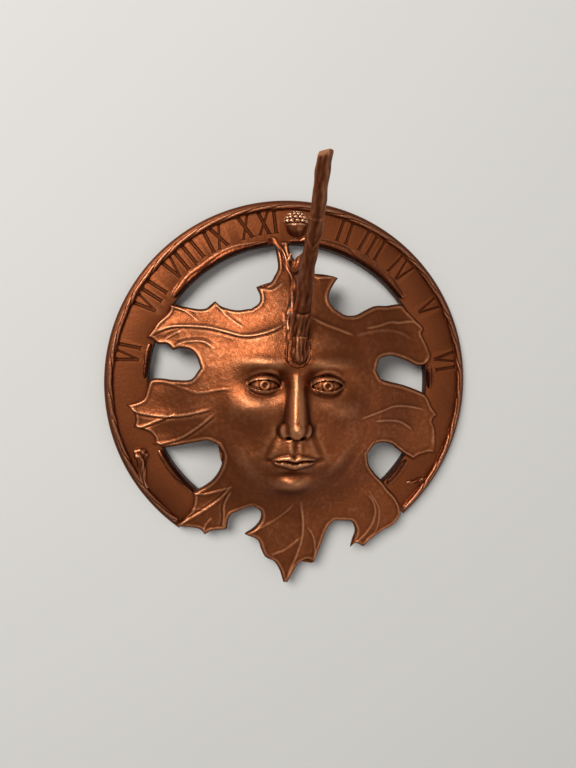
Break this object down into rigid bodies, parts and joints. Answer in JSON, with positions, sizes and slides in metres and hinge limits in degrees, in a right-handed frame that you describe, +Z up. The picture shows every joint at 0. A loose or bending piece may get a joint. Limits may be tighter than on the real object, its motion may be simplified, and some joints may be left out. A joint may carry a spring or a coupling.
{
  "type": "sundial",
  "caption": "Horizontal garden sundial: an open hour ring with Roman numerals round a foliate-head leaf mask, with a twig-shaped gnomon and an acorn at noon.",
  "frame": {"origin": "centre of the hour ring, on the face underneath that rests on the pedestal", "axes": "+Z up out of the dial, +Y toward noon (the acorn, north), +X toward the afternoon hours (east)"},
  "size_m": [0.26, 0.2749, 0.1232],
  "materials": {
    "ring_copper": "satin copper-coloured coat on a cast ring",
    "twig_copper": "rubbed bright on the crests, dark in the bark",
    "acorn_copper": "rubbed bright on the knobs",
    "face_copper": "satin copper, mottled and rubbed on the high places",
    "leaf_copper": "satin copper, mottled, bright along veins and edges",
    "gnomon_copper": "satin copper bark, dark in the grain",
    "fixing_steel": "plain zinc-grey"
  },
  "bodies": {
    "root": {"hour_ring": "ring_copper", "rim_twig": "twig_copper", "edge_twig_top_left": "twig_copper", "edge_twig_top_right": "twig_copper", "edge_twig_mid_left": "twig_copper", "edge_twig_mid_right": "twig_copper", "edge_twig_low_left": "twig_copper", "edge_twig_low_right": "twig_copper", "crest_twig": "twig_copper", "branch_stub": "twig_copper", "side_shoot": "twig_copper", "acorn_nut": "acorn_copper", "acorn_cap": "acorn_copper", "face_mask": "face_copper", "crown_leaf": "leaf_copper", "brow_leaf_left": "leaf_copper", "brow_leaf_right": "leaf_copper", "cheek_leaf_left": "leaf_copper", "cheek_leaf_right": "leaf_copper", "jaw_leaf_left": "leaf_copper", "jaw_leaf_right": "leaf_copper", "chin_leaf": "leaf_copper", "gnomon_seat": "gnomon_copper", "gnomon": "gnomon_copper", "gnomon_screws": "fixing_steel", "gnomon_washers": "fixing_steel"}
  },
  "joints": []
}
